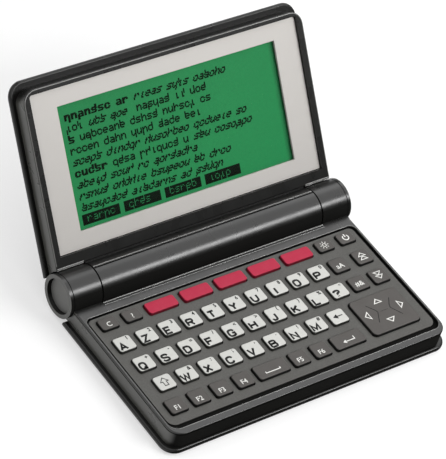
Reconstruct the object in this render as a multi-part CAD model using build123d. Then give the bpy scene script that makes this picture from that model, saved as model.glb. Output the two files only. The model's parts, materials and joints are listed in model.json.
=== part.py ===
"""Pocket electronic dictionary: a keyboard half and a display half on a barrel hinge.

Frame: +X along the hinge, front edge of the keyboard towards -Y, +Z up, feet on Z = 0.
It is modelled with the lid open. Lengths are millimetres, angles are degrees.
"""
from build123d import *
from math import cos, degrees, radians, sin, sqrt
import os

# ---- Case: its width and depth follow from the keys and the borders round them ---------
LID_EXTRA_REACH = 2.1         # display half beyond the keyboard half, when closed
CASE_CORNER = 5.5
FLANGE_OVERHANG = 1.8         # how far both outer covers stand out at each side
BASE_FLANGE_FRONT = 1.3       # and beyond the front edges
LID_FLANGE_FRONT = 3.2
FLANGE_THICKNESS = 2.2
FLANGE_CORNER = 6.0
FLANGE_ROUND = 0.9
SHELL_FLOOR = 1.2
SHELL_WALL = 1.5
SEAM = 0.1                    # shadow line between a cover and its body
LIP_WALL = 0.9
LIP_HEIGHT = 1.0
LIP_CLEARANCE = 0.15
RIM_ROUND = 0.45

# ---- Hinge ---------------------------------------------------------------------------
LID_OPEN_ANGLE = 128.6        # turn from closed to the modelled pose
BARREL_WALL = 1.6
BARREL_END_WALL = 2.5
KNUCKLE_GAP = 0.3             # round the barrel, in the trough that it turns in
KNUCKLE_END_GAP = 0.6         # between the barrel's ends and the knuckles
KNUCKLE_LENGTH = 13.8
KNUCKLE_STAND_OUT = 1.6       # beyond the sides of the case
KNUCKLE_RING = 1.6            # ring left round the knuckles' sunk ends
KNUCKLE_RECESS_DEPTH = 2.4
PIN_RADIUS = 2.0
PIN_CLEARANCE = 0.05
PIN_HEAD_THICKNESS = 0.8
PIN_HEAD_CLEARANCE = 0.2
PIN_INSIDE = 0.8              # end of the pin beyond the barrel's end wall

# ---- Base, heights above the table ---------------------------------------------------
RIM_HEIGHT = 10.0
CLOSED_GAP = 0.3              # between the rim and the closed lid; the hinge axis is in its middle
BASE_BOTTOM = 0.7
POCKET_DEPTH = 1.5            # from the rim down to the ledge that carries the key plate
LEDGE_THICKNESS = 1.2
LEDGE_WIDTH = 1.6             # key plate's seat, all round
LEDGE_CLEARANCE = 0.2
KEY_PLATE_RISE = 0.8          # key plate above its ledge
BASE_BACK_FROM_AXIS = 6.0     # back edge of the base, ahead of the hinge axis
RIM_SIDE = 0.85
RIM_FRONT = 2.6
RIM_BACK = 4.6                # between the barrel's trough and the key pocket
MOAT_SIDE = 1.2               # gap all round the key plate
MOAT_FRONT = 2.4
MOAT_BACK = 0.7
POCKET_CORNER = 4.0           # front corners; the back ones follow
POCKET_BACK_CORNER = 2.8
KEY_PLATE_CORNER = 3.2
KEY_PLATE_BACK_CORNER = 2.0

# ---- Keys ----------------------------------------------------------------------------
KEY_PITCH = 10.0
ROW_PITCH = 10.7
ROW_STAGGER = (0.0, 1.4, 3.0)
ROW_KEYS = (10, 10, 9)
KEY_BORDER_SIDE = 2.6         # key plate left bare around the keys
KEY_BORDER_FRONT = 4.05
KEY_BORDER_BACK = 1.7
KEY_WIDTH = 7.3
KEY_DEPTH = 6.5
TOP_ROW_DEPTH = 5.2
KEY_CORNER = 1.1
KEY_TOP_ROUND = 0.4
KEY_RISE = 1.1                # key tops above the key plate
KEY_CLEARANCE = 0.3
KEY_SKIRT = 0.6               # retaining skirt under the key plate, all round
KEY_SKIRT_THICKNESS = 0.7
KEY_SKIRT_GAP = 0.15
KEY_TRAVEL = 0.6
DOME_GAP = 0.1                # left under a pressed key
SOFT_KEYS = 5
SOFT_KEY_GAP = 2.7
SOFT_ROW_END_GAP = 3.15       # from the soft keys to the small keys beside them
BOTTOM_ROW = ("function_keys",) * 4 + ("space_key",) + ("function_keys",) * 2 + ("enter_key",)
TOP_CORNER_PITCH = 10.5       # between the two small keys at each end of the top row
BOTTOM_ROW_STAGGER = 0.7
WIDE_KEY_GAP = 2.35           # between a wide key and its neighbours
PAD_GAP_LEFT = 3.95           # from the keys on its left and behind it
PAD_GAP_BACK = 3.6
PAD_BORDER_SIDE = 4.25        # to the side edge of the key plate
PAD_CORNER = 2.0

# ---- Inside the base -----------------------------------------------------------------
BOARD_THICKNESS = 1.0
BOARD_SIDE_MARGIN = 3.8       # inside the side and front edges of the case
BOARD_FRONT_MARGIN = 6.4
BOARD_BACK_MARGIN = 4.2       # ahead of the barrel's trough
BOSS_HEIGHT = 1.6
BOSS_RADIUS = 2.1
BOSS_INSET_SIDE = 6.2         # inside the board's edges
BOSS_INSET = 4.0
CHIPS = ((-26.0, 8.0, 8.0), (6.0, 6.0, 4.5), (30.0, 5.0, 9.0))   # x, half width, half depth
MAT_THICKNESS = 0.6
MAT_INSET = 0.4
DOME_RADIUS = 2.0
CHIP_HEIGHT = 1.1
FOOT_RADIUS = 3.2
FOOT_RECESS = 0.5
FRONT_FOOT_SIDE_INSET = 12.0
FRONT_FOOT_INSET = 9.0
REAR_FOOT_INSET = 6.4         # from a knuckle's inner end
REAR_FOOT_FROM_AXIS = 2.0

# ---- Lid, distances from the hinge axis ----------------------------------------------
LID_THICKNESS = 7.9
LID_START_GAP = 0.5           # between the knuckles and the hollow lower edge of the lid
LID_WRAP = 2.8                # how far the lid reaches down behind the knuckles
FACE_PLATE_SIDE = 2.8         # lid frame left bare at each side of the face plate
FACE_PLATE_BELOW = 4.5        # and below and above it
FACE_PLATE_ABOVE = 1.9
FACE_PLATE_RECESS = 1.2
FACE_PLATE_THICKNESS = 0.8
FACE_PLATE_CLEARANCE = 0.2
LID_DECK_THICKNESS = 1.0
WINDOW_SIDE = 11.2            # width of the face plate's frame at the sides, bottom and top
WINDOW_BELOW = 6.6
WINDOW_ABOVE = 6.9
DISPLAY_MARGIN = 3.1          # display hidden behind the face plate, all round
DISPLAY_CLEARANCE = 0.3
LENS_THICKNESS = 0.5
LENS_GAP = 0.05
PANEL_THICKNESS = 1.8
POST_RADIUS = 1.6
TONGUE_CLEARANCE = 0.37       # cover's tongue behind the barrel

# ---- Battery bay in the barrel -------------------------------------------------------
CELL_RADIUS = 5.2
CELL_ROOM = 1.7               # round the cells, in the barrel
CELL_END_SPACE = 3.7          # for the contact springs
CELL_BUTTON_RADIUS = 1.9
CELL_BUTTON = 0.9
CELL_SEAT_CLEARANCE = 0.2
CRADLE_RIB_INSET = (8.0, 5.6) # from a cell's inner and outer ends
CRADLE_RIB_THICKNESS = 1.4
DOOR_INSET = 5.5              # from the barrel's ends
DOOR_CENTRE_ANGLE = 260.0     # about the axis, from the lid's up direction
DOOR_SPAN = 70.0
DOOR_CLEARANCE = 0.25

# ---- Worked out from the sizes above -------------------------------------------------
BARREL_BORE = CELL_RADIUS + CELL_ROOM
BARREL_RADIUS = BARREL_BORE + BARREL_WALL
BARREL_CUT_RADIUS = BARREL_RADIUS + KNUCKLE_GAP
KNUCKLE_RECESS_RADIUS = BARREL_RADIUS - KNUCKLE_RING
KEY_EDGE_X = (ROW_STAGGER[1] + (ROW_KEYS[1] + 1) * KEY_PITCH) / 2   # outermost keys' centres
KEY_PLATE_HALF = KEY_EDGE_X + KEY_WIDTH / 2 + KEY_BORDER_SIDE
POCKET_HALF = KEY_PLATE_HALF + MOAT_SIDE
CASE_HALF = POCKET_HALF + RIM_SIDE
RIM_BACK_FROM_AXIS = BARREL_CUT_RADIUS + RIM_BACK
FIRST_ROW_FROM_AXIS = RIM_BACK_FROM_AXIS + MOAT_BACK + KEY_BORDER_BACK + TOP_ROW_DEPTH / 2 + ROW_PITCH
BOTTOM_ROW_FROM_AXIS = FIRST_ROW_FROM_AXIS + len(ROW_KEYS) * ROW_PITCH
KEYS_FRONT_FROM_AXIS = BOTTOM_ROW_FROM_AXIS + KEY_DEPTH / 2
BASE_REACH = KEYS_FRONT_FROM_AXIS + KEY_BORDER_FRONT + MOAT_FRONT + RIM_FRONT
LID_REACH = BASE_REACH + LID_EXTRA_REACH
KNUCKLE_END = CASE_HALF + KNUCKLE_STAND_OUT
BARREL_CUT_HALF = KNUCKLE_END - KNUCKLE_LENGTH
BARREL_HALF = BARREL_CUT_HALF - KNUCKLE_END_GAP
LID_START = BARREL_RADIUS + LID_START_GAP
LID_HEM = LID_START - LID_WRAP
LID_LEAN = 180.0 - LID_OPEN_ANGLE
LID_FACE = -CLOSED_GAP / 2
LID_BACK = LID_FACE - LID_THICKNESS
LID_SEAM = LID_BACK + FLANGE_THICKNESS
LID_TIP = LID_REACH + LID_FLANGE_FRONT
FLANGE_HALF = CASE_HALF + FLANGE_OVERHANG
BASE_TIP = BASE_REACH + BASE_FLANGE_FRONT
LID_REARMOST = (
    (LID_TIP - FLANGE_ROUND) * cos(radians(LID_LEAN))
    + (-LID_BACK - FLANGE_ROUND) * sin(radians(LID_LEAN))
    + FLANGE_ROUND
)
HINGE_Y = (BASE_TIP - LID_REARMOST) / 2     # centres the open part front to back
HINGE_Z = RIM_HEIGHT + CLOSED_GAP / 2
FRONT_Y = HINGE_Y - BASE_REACH
BACK_Y = HINGE_Y - BASE_BACK_FROM_AXIS
BASE_SEAM = BASE_BOTTOM + FLANGE_THICKNESS
LEDGE_TOP = RIM_HEIGHT - POCKET_DEPTH
LEDGE_BOTTOM = LEDGE_TOP - LEDGE_THICKNESS
POCKET_BACK_Y = HINGE_Y - RIM_BACK_FROM_AXIS
POCKET_FRONT_Y = FRONT_Y + RIM_FRONT
KEY_PLATE_BACK_Y = POCKET_BACK_Y - MOAT_BACK
KEY_PLATE_FRONT_Y = POCKET_FRONT_Y + MOAT_FRONT
KEY_PLATE_TOP = LEDGE_TOP + KEY_PLATE_RISE
KEY_TOP = KEY_PLATE_TOP + KEY_RISE
KEY_SKIRT_TOP = LEDGE_BOTTOM - KEY_SKIRT_GAP
KEY_BOTTOM = KEY_SKIRT_TOP - KEY_SKIRT_THICKNESS
FLOOR_TOP = BASE_BOTTOM + SHELL_FLOOR
BOARD_BOTTOM = FLOOR_TOP + BOSS_HEIGHT
BOARD_TOP = BOARD_BOTTOM + BOARD_THICKNESS
MAT_TOP = BOARD_TOP + MAT_THICKNESS
DOME_TOP = KEY_BOTTOM - KEY_TRAVEL - DOME_GAP
BOARD_FRONT_Y = FRONT_Y + BOARD_FRONT_MARGIN
BOARD_BACK_Y = HINGE_Y - BARREL_CUT_RADIUS - BOARD_BACK_MARGIN
BOARD_HALF_WIDTH = CASE_HALF - BOARD_SIDE_MARGIN
INNER_HALF = CASE_HALF - SHELL_WALL
CELL_LENGTH = BARREL_HALF - BARREL_END_WALL - PIN_INSIDE - CELL_BUTTON - CELL_END_SPACE
DOOR_HALF_LENGTH = BARREL_HALF - DOOR_INSET
PLATE_FACE = LID_FACE - FACE_PLATE_RECESS
LID_DECK_TOP = PLATE_FACE - FACE_PLATE_THICKNESS
LID_DECK_BOTTOM = LID_DECK_TOP - LID_DECK_THICKNESS
FACE_PLATE_HALF = CASE_HALF - FACE_PLATE_SIDE
FACE_PLATE_BOTTOM = LID_START + FACE_PLATE_BELOW
FACE_PLATE_TOP = LID_REACH - FACE_PLATE_ABOVE
WINDOW_HALF = FACE_PLATE_HALF - WINDOW_SIDE
WINDOW_BOTTOM = FACE_PLATE_BOTTOM + WINDOW_BELOW
WINDOW_TOP = FACE_PLATE_TOP - WINDOW_ABOVE
LENS_TOP = LID_DECK_TOP - LENS_GAP
PANEL_TOP = LENS_TOP - LENS_THICKNESS - LENS_GAP
PANEL_BOTTOM = PANEL_TOP - PANEL_THICKNESS
COVER_FLOOR = LID_BACK + SHELL_FLOOR
TONGUE_START = sqrt(BARREL_RADIUS**2 - COVER_FLOOR**2) + TONGUE_CLEARANCE


# ---- Shared shapes -------------------------------------------------------------------
def half_round_outline(half_width, y_square, y_round, corner):
    """A rectangle across X whose two corners at y_round are rounded."""
    face = Pos(0, (y_square + y_round) / 2) * Rectangle(2 * half_width, abs(y_round - y_square))
    corners = face.vertices().sort_by(Axis.Y)
    rounded = corners[:2] if y_round < y_square else corners[-2:]
    return fillet(rounded, corner)


def slab(half_width, y_square, y_round, z_low, z_high, corner):
    """The same outline with a thickness."""
    outline = half_round_outline(half_width, y_square, y_round, corner)
    return Pos(0, 0, z_low) * extrude(outline, z_high - z_low)


def tray(half_width, y_back, y_front, z_low, z_high, front_corner, back_corner):
    """A slab whose back corners are rounded too."""
    body = slab(half_width, y_back, y_front, z_low, z_high, front_corner)
    return body & slab(half_width, y_front, y_back, z_low, z_high, back_corner)


def block(x_low, x_high, y_low, y_high, z_low, z_high):
    size = (x_high - x_low, y_high - y_low, z_high - z_low)
    return Pos((x_low + x_high) / 2, (y_low + y_high) / 2, (z_low + z_high) / 2) * Box(*size)


def rod(x_low, x_high, radius, y=0.0, z=0.0):
    """A cylinder along X."""
    return Pos((x_low + x_high) / 2, y, z) * Rot(0, 90, 0) * Cylinder(radius, x_high - x_low)


def disc(x, y, z_low, z_high, radius):
    return Pos(x, y, (z_low + z_high) / 2) * Cylinder(radius, z_high - z_low)


def soften(shape, z, radius):
    """Rounds the edges that lie flat at height z."""
    flat = [edge for edge in shape.edges() if abs(edge.center().Z - z) < 1e-4]
    return fillet(flat, radius)


def cover(half_width, y_square, y_round, z_low, z_high, corner, edge_round):
    """An outer cover's flange, with soft upper and lower edges."""
    body = slab(half_width, y_square, y_round, z_low, z_high, corner)
    return soften(soften(body, z_low, edge_round), z_high, edge_round)


def open_lid(shape):
    """Carries a shape from the hinge axis frame (Y up the lid, Z out of its face) to the pose."""
    return Pos(0, HINGE_Y, HINGE_Z) * Rot(LID_LEAN, 0, 0) * shape


def lip_ring(y_square, y_round, z_low, z_high, corner):
    """The locating lip that stands up inside the other shell's wall."""
    toward = 1 if y_round > y_square else -1
    outer_inset = SHELL_WALL + LIP_CLEARANCE
    inner_inset = outer_inset + LIP_WALL
    outer = slab(CASE_HALF - outer_inset, y_square + toward * outer_inset,
                 y_round - toward * outer_inset, z_low, z_high, corner - SHELL_WALL)
    inner = slab(CASE_HALF - inner_inset, y_square + toward * inner_inset,
                 y_round - toward * inner_inset, z_low, z_high, corner - inner_inset)
    return outer - inner


# ---- Key layout ----------------------------------------------------------------------
def row_y(row):
    return HINGE_Y - FIRST_ROW_FROM_AXIS - row * ROW_PITCH


def key_layout():
    """Every key as node name, centre x, centre y, width, depth and corner radius."""
    keys = []
    small = (KEY_WIDTH, KEY_DEPTH, KEY_CORNER)
    for row, count in enumerate(ROW_KEYS):
        for column in range(count):
            x = ROW_STAGGER[row] + column * KEY_PITCH - KEY_EDGE_X
            keys.append((f"letter_key_row{row + 1}_{column + 1:02d}", x, row_y(row), *small))
    top_y = row_y(-1)
    top = (KEY_WIDTH, TOP_ROW_DEPTH, KEY_CORNER)
    inner_x = KEY_EDGE_X - TOP_CORNER_PITCH
    soft_row = 2 * (inner_x - KEY_WIDTH / 2 - SOFT_ROW_END_GAP)
    soft_width = (soft_row - (SOFT_KEYS - 1) * SOFT_KEY_GAP) / SOFT_KEYS
    for index in range(SOFT_KEYS):
        x = (index - (SOFT_KEYS - 1) / 2) * (soft_width + SOFT_KEY_GAP)
        keys.append((f"soft_key_{index + 1}", x, top_y, soft_width, TOP_ROW_DEPTH, KEY_CORNER))
    keys.append(("clear_key", -KEY_EDGE_X, top_y, *top))
    keys.append(("help_key", -inner_x, top_y, *top))
    keys.append(("backlight_key", inner_x, top_y, *top))
    keys.append(("power_key", KEY_EDGE_X, top_y, *top))
    for row, name in enumerate(("text_size_key", "symbol_key")):
        x = ROW_STAGGER[row] + ROW_KEYS[row] * KEY_PITCH - KEY_EDGE_X
        keys.append((name, x, row_y(row), *small))
    for row, name in enumerate(("page_up_key", "page_down_key")):
        keys.append((name, KEY_EDGE_X, row_y(row), *small))
    right_edge = letters_right_edge()
    pad_low, pad_high = right_edge + PAD_GAP_LEFT, KEY_PLATE_HALF - PAD_BORDER_SIDE
    pad_front, pad_back = HINGE_Y - KEYS_FRONT_FROM_AXIS, row_y(1) - KEY_DEPTH / 2 - PAD_GAP_BACK
    keys.append(("arrow_pad", (pad_low + pad_high) / 2, (pad_front + pad_back) / 2,
                 pad_high - pad_low, pad_back - pad_front, PAD_CORNER))
    return keys + bottom_row(right_edge)


def letters_right_edge():
    """Right edge of the last letter row, where the wide key below it ends too."""
    last = len(ROW_KEYS) - 1
    return ROW_STAGGER[last] + (ROW_KEYS[last] - 1) * KEY_PITCH - KEY_EDGE_X + KEY_WIDTH / 2


def bottom_row(right_edge):
    """Small keys and two wide ones; the wide ones share the width that is left over."""
    pairs = zip(BOTTOM_ROW, BOTTOM_ROW[1:])
    gaps = [KEY_PITCH - KEY_WIDTH if one == other else WIDE_KEY_GAP for one, other in pairs]
    left = BOTTOM_ROW_STAGGER - KEY_EDGE_X - KEY_WIDTH / 2
    small_count = BOTTOM_ROW.count("function_keys")
    spare = right_edge - left - sum(gaps) - small_count * KEY_WIDTH
    wide = spare / (len(BOTTOM_ROW) - small_count)
    keys = []
    for name, gap in zip(BOTTOM_ROW, gaps + [0.0]):
        width = KEY_WIDTH if name == "function_keys" else wide
        keys.append((name, left + width / 2, row_y(len(ROW_KEYS)), width, KEY_DEPTH, KEY_CORNER))
        left += width + gap
    return keys


def key_solid(x, y, width, depth, corner):
    """A cap that stands through the key plate, with a skirt that holds it from below."""
    cap = Pos(0, 0, KEY_BOTTOM) * extrude(RectangleRounded(width, depth, corner), KEY_TOP - KEY_BOTTOM)
    cap = soften(cap, KEY_TOP, KEY_TOP_ROUND)
    skirt_outline = RectangleRounded(width + 2 * KEY_SKIRT, depth + 2 * KEY_SKIRT, corner + KEY_SKIRT)
    skirt = Pos(0, 0, KEY_BOTTOM) * extrude(skirt_outline, KEY_SKIRT_THICKNESS)
    return Pos(x, y) * (cap + skirt)


def key_openings(z_low, z_high):
    """The holes that the keys stand in, with their clearance."""
    holes = []
    for _, x, y, width, depth, corner in key_layout():
        outline = RectangleRounded(width + 2 * KEY_CLEARANCE, depth + 2 * KEY_CLEARANCE, corner)
        holes.append(Pos(x, y, z_low) * extrude(outline, z_high - z_low))
    return holes


def keys_by_node():
    nodes = {}
    for name, x, y, width, depth, corner in key_layout():
        nodes.setdefault(name, []).append(key_solid(x, y, width, depth, corner))
    return nodes


# ---- Base ----------------------------------------------------------------------------
def boss_places():
    edge = BOARD_HALF_WIDTH - BOSS_INSET_SIDE
    rows = (BOARD_FRONT_Y + BOSS_INSET, BOARD_BACK_Y - BOSS_INSET)
    return [(x, y) for x in (-edge, 0.0, edge) for y in rows]


def front_feet():
    x = CASE_HALF - FRONT_FOOT_SIDE_INSET
    return [(side * x, FRONT_Y + FRONT_FOOT_INSET) for side in (-1, 1)]


def rear_feet():
    x = BARREL_CUT_HALF + REAR_FOOT_INSET
    return [(side * x, HINGE_Y - REAR_FOOT_FROM_AXIS) for side in (-1, 1)]


def base_bottom_shell():
    """Bottom cover: rounded flange, floor, board bosses and a locating lip."""
    inner_inset = SHELL_WALL + LIP_CLEARANCE + LIP_WALL
    body = cover(FLANGE_HALF, BACK_Y, HINGE_Y - BASE_TIP, BASE_BOTTOM, BASE_SEAM, FLANGE_CORNER,
                 FLANGE_ROUND)
    body -= slab(CASE_HALF - inner_inset, BACK_Y - inner_inset, FRONT_Y + inner_inset, FLOOR_TOP,
                 BASE_SEAM, CASE_CORNER - inner_inset)
    lip_top = BASE_SEAM + LIP_HEIGHT
    lip = lip_ring(BACK_Y, FRONT_Y, BASE_SEAM, lip_top, CASE_CORNER)
    lip -= rod(-CASE_HALF, CASE_HALF, BARREL_CUT_RADIUS + SHELL_WALL + LIP_CLEARANCE, HINGE_Y, HINGE_Z)
    for side in (-1, 1):
        inner, outer = sorted((side * (BARREL_CUT_HALF - SHELL_WALL - LIP_CLEARANCE), side * CASE_HALF))
        lip -= block(inner, outer, HINGE_Y - BARREL_CUT_RADIUS - SHELL_WALL - 2 * LIP_CLEARANCE,
                     BACK_Y, BASE_SEAM, lip_top)
    body += lip
    for x, y in boss_places():
        body += disc(x, y, FLOOR_TOP, BOARD_BOTTOM, BOSS_RADIUS)
    for x, y in front_feet():
        body -= disc(x, y, BASE_BOTTOM, BASE_BOTTOM + FOOT_RECESS, FOOT_RADIUS)
    return body


def base_knuckle(side):
    """One end knuckle: a short solid barrel on a block, with the pin's hole and a foot pad."""
    inner, outer = sorted((side * BARREL_CUT_HALF, side * KNUCKLE_END))
    shape = rod(inner, outer, BARREL_RADIUS, HINGE_Y, HINGE_Z)
    low, high = sorted((side * BARREL_CUT_HALF, side * CASE_HALF))
    front = HINGE_Y - BARREL_CUT_RADIUS - SHELL_WALL
    shape += block(low, high, front, HINGE_Y, BASE_SEAM + SEAM, RIM_HEIGHT)
    foot_x = side * (BARREL_CUT_HALF + REAR_FOOT_INSET)
    foot_y = HINGE_Y - REAR_FOOT_FROM_AXIS
    pad = disc(foot_x, foot_y, BASE_BOTTOM, HINGE_Z, FOOT_RADIUS + SHELL_FLOOR)
    shape += pad - block(-FLANGE_HALF, FLANGE_HALF, FRONT_Y, BACK_Y + SEAM, BASE_BOTTOM, HINGE_Z)
    shape -= rod(inner, outer, PIN_RADIUS + PIN_CLEARANCE, HINGE_Y, HINGE_Z)
    return shape - disc(foot_x, foot_y, BASE_BOTTOM, BASE_BOTTOM + FOOT_RECESS, FOOT_RADIUS)


def base_top_shell():
    """Keyboard body: rim, ledge for the key plate, hollow inside, two knuckles with sunk ends."""
    low = BASE_SEAM + SEAM
    body = slab(CASE_HALF, BACK_Y, FRONT_Y, low, RIM_HEIGHT, CASE_CORNER)
    body = soften(body, RIM_HEIGHT, RIM_ROUND)
    body -= tray(POCKET_HALF, POCKET_BACK_Y, POCKET_FRONT_Y, LEDGE_TOP, RIM_HEIGHT, POCKET_CORNER,
                 POCKET_BACK_CORNER)
    body -= slab(KEY_PLATE_HALF - LEDGE_WIDTH, KEY_PLATE_BACK_Y - LEDGE_WIDTH,
                 KEY_PLATE_FRONT_Y + LEDGE_WIDTH, LEDGE_BOTTOM, LEDGE_TOP, KEY_PLATE_CORNER)
    hollow = slab(INNER_HALF, BACK_Y - SHELL_WALL, FRONT_Y + SHELL_WALL, low, LEDGE_BOTTOM,
                  CASE_CORNER - SHELL_WALL)
    hollow -= rod(-CASE_HALF, CASE_HALF, BARREL_CUT_RADIUS + SHELL_WALL, HINGE_Y, HINGE_Z)
    for side in (-1, 1):
        inner, outer = sorted((side * (BARREL_CUT_HALF - SHELL_WALL), side * CASE_HALF))
        hollow -= block(inner, outer, HINGE_Y - BARREL_CUT_RADIUS - SHELL_WALL - LIP_CLEARANCE,
                        BACK_Y, low, LEDGE_BOTTOM)
    body -= hollow
    body -= rod(-BARREL_CUT_HALF, BARREL_CUT_HALF, BARREL_CUT_RADIUS, HINGE_Y, HINGE_Z)
    for side in (-1, 1):
        body += base_knuckle(side)
        face = side * KNUCKLE_END
        low, high = sorted((face, face - side * KNUCKLE_RECESS_DEPTH))
        body -= rod(low, high, KNUCKLE_RECESS_RADIUS, HINGE_Y, HINGE_Z)
    return body


def key_plate():
    """Plate that frames the keys: it rests on the ledge, with a dark gap all round its top."""
    plate = tray(KEY_PLATE_HALF, KEY_PLATE_BACK_Y, KEY_PLATE_FRONT_Y, LEDGE_TOP, KEY_PLATE_TOP,
                 KEY_PLATE_CORNER, KEY_PLATE_BACK_CORNER)
    inset = LEDGE_WIDTH + LEDGE_CLEARANCE
    plate += slab(KEY_PLATE_HALF - inset, KEY_PLATE_BACK_Y - inset, KEY_PLATE_FRONT_Y + inset,
                  LEDGE_BOTTOM, LEDGE_TOP, KEY_PLATE_CORNER)
    return plate - key_openings(LEDGE_BOTTOM, KEY_PLATE_TOP)


def main_board():
    """Circuit board on the bosses, with its chips underneath."""
    board = block(-BOARD_HALF_WIDTH, BOARD_HALF_WIDTH, BOARD_FRONT_Y, BOARD_BACK_Y, BOARD_BOTTOM,
                  BOARD_TOP)
    middle_y = (BOARD_FRONT_Y + BOARD_BACK_Y) / 2
    for x, half_width, half_depth in CHIPS:
        board += block(x - half_width, x + half_width, middle_y - half_depth, middle_y + half_depth,
                       BOARD_BOTTOM - CHIP_HEIGHT, BOARD_BOTTOM)
    return board


def key_mat():
    """Rubber mat on the board, with a dome under every key and four under the arrow pad."""
    mat = block(MAT_INSET - BOARD_HALF_WIDTH, BOARD_HALF_WIDTH - MAT_INSET, BOARD_FRONT_Y + MAT_INSET,
                BOARD_BACK_Y - MAT_INSET, BOARD_TOP, MAT_TOP)
    domes = []
    for name, x, y, width, depth, _ in key_layout():
        places = [(x, y)]
        if name == "arrow_pad":
            places = [(x - width / 3, y), (x + width / 3, y), (x, y - depth / 3), (x, y + depth / 3)]
        domes += [disc(px, py, BOARD_TOP, DOME_TOP, DOME_RADIUS) for px, py in places]
    return mat + domes


def rubber_feet():
    """Two round feet under the front of the base and two under the knuckles."""
    top = BASE_BOTTOM + FOOT_RECESS
    return [disc(x, y, 0.0, top, FOOT_RADIUS) for x, y in front_feet() + rear_feet()]


def hinge_pins():
    """A pin with a wide flat head at each end of the hinge."""
    pins = []
    for side in (-1, 1):
        seat = side * (KNUCKLE_END - KNUCKLE_RECESS_DEPTH)
        low, high = sorted((seat, seat + side * PIN_HEAD_THICKNESS))
        head = rod(low, high, KNUCKLE_RECESS_RADIUS - PIN_HEAD_CLEARANCE, HINGE_Y, HINGE_Z)
        low, high = sorted((seat, side * (BARREL_HALF - BARREL_END_WALL - PIN_INSIDE)))
        pins.append(head + rod(low, high, PIN_RADIUS, HINGE_Y, HINGE_Z))
    return pins


# ---- Lid, in the hinge axis frame ----------------------------------------------------
def door_sector(inner_radius, outer_radius, half_length, span):
    """A curved piece of the barrel wall about the battery door's middle."""
    wall = rod(-half_length, half_length, outer_radius) - rod(-half_length, half_length, inner_radius)
    reach = 2 * outer_radius
    corner = reach * sin(radians(span / 2)), reach * cos(radians(span / 2))
    wedge = Polygon((0, 0), (corner[1], corner[0]), (reach, 0), (corner[1], -corner[0]), align=None)
    wedge = Plane.YZ * Rot(0, 0, DOOR_CENTRE_ANGLE) * wedge
    return wall & (Pos(-half_length, 0, 0) * extrude(wedge, 2 * half_length, dir=(1, 0, 0)))


def lid_front_frame():
    """Display body with its bezel, and the barrel that turns on the pins and holds the cells."""
    body = slab(CASE_HALF, LID_HEM, LID_REACH, LID_SEAM + SEAM, LID_FACE, CASE_CORNER)
    body -= rod(-CASE_HALF, CASE_HALF, LID_START)
    body = soften(body, LID_FACE, RIM_ROUND)
    body -= slab(FACE_PLATE_HALF, FACE_PLATE_BOTTOM, FACE_PLATE_TOP, LID_DECK_TOP, LID_FACE, 1.0)
    body -= slab(INNER_HALF, LID_START + SHELL_WALL, LID_REACH - SHELL_WALL, LID_SEAM + SEAM,
                 LID_DECK_BOTTOM, CASE_CORNER - SHELL_WALL)
    opening = DISPLAY_MARGIN + DISPLAY_CLEARANCE
    body -= block(-WINDOW_HALF - opening, WINDOW_HALF + opening, WINDOW_BOTTOM - opening,
                  WINDOW_TOP + opening, LID_DECK_BOTTOM, LID_DECK_TOP)
    neck = block(-BARREL_HALF, BARREL_HALF, 0.0, LID_START + SHELL_WALL, LID_SEAM + SEAM,
                 LID_FACE - RIM_ROUND)
    body += neck + rod(-BARREL_HALF, BARREL_HALF, BARREL_RADIUS)
    bay_half = BARREL_HALF - BARREL_END_WALL
    bay = rod(-bay_half, bay_half, BARREL_BORE)
    seat = CELL_RADIUS + CELL_SEAT_CLEARANCE
    half = CRADLE_RIB_THICKNESS / 2
    inner, outer = CRADLE_RIB_INSET[0], CELL_LENGTH - CRADLE_RIB_INSET[1]
    for x in (-outer, -inner, inner, outer):
        bay -= rod(x - half, x + half, BARREL_BORE) - rod(x - half, x + half, seat)
    body -= bay
    body -= rod(-BARREL_HALF, BARREL_HALF, PIN_RADIUS + PIN_CLEARANCE)
    body -= door_sector(seat, BARREL_RADIUS + 1.0, DOOR_HALF_LENGTH, DOOR_SPAN)
    return body


def battery_door():
    door_angle = DOOR_SPAN - 2 * degrees(DOOR_CLEARANCE / BARREL_RADIUS)
    return door_sector(BARREL_BORE, BARREL_RADIUS, DOOR_HALF_LENGTH - DOOR_CLEARANCE, door_angle)


def battery_cells():
    """Two slim round cells end to end in the barrel."""
    cells = []
    for side in (-1, 1):
        low, high = (-CELL_LENGTH - CELL_BUTTON, -CELL_BUTTON) if side < 0 else (0.0, CELL_LENGTH)
        cells.append(rod(low, high, CELL_RADIUS) + rod(high, high + CELL_BUTTON - 0.05, CELL_BUTTON_RADIUS))
    return cells


def lid_back_shell():
    """Outer cover of the lid: hollow round the knuckles, with a tongue behind the barrel."""
    inner_inset = SHELL_WALL + LIP_CLEARANCE + LIP_WALL
    body = cover(FLANGE_HALF, LID_HEM, LID_TIP, LID_BACK, LID_SEAM, FLANGE_CORNER, FLANGE_ROUND)
    body -= rod(-FLANGE_HALF, FLANGE_HALF, LID_START)
    body += block(-BARREL_HALF, BARREL_HALF, TONGUE_START, LID_START + SHELL_WALL, LID_BACK,
                  COVER_FLOOR)
    body -= slab(CASE_HALF - inner_inset, LID_START + inner_inset, LID_REACH - inner_inset, COVER_FLOOR,
                 LID_SEAM, CASE_CORNER - inner_inset)
    body += lip_ring(LID_START, LID_REACH, LID_SEAM, LID_SEAM + LIP_HEIGHT, CASE_CORNER)
    for x in (-WINDOW_HALF + DISPLAY_MARGIN, 0.0, WINDOW_HALF - DISPLAY_MARGIN):
        for y in (WINDOW_BOTTOM + DISPLAY_MARGIN, WINDOW_TOP - DISPLAY_MARGIN):
            body += disc(x, y, COVER_FLOOR, PANEL_BOTTOM, POST_RADIUS)
    return body


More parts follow.
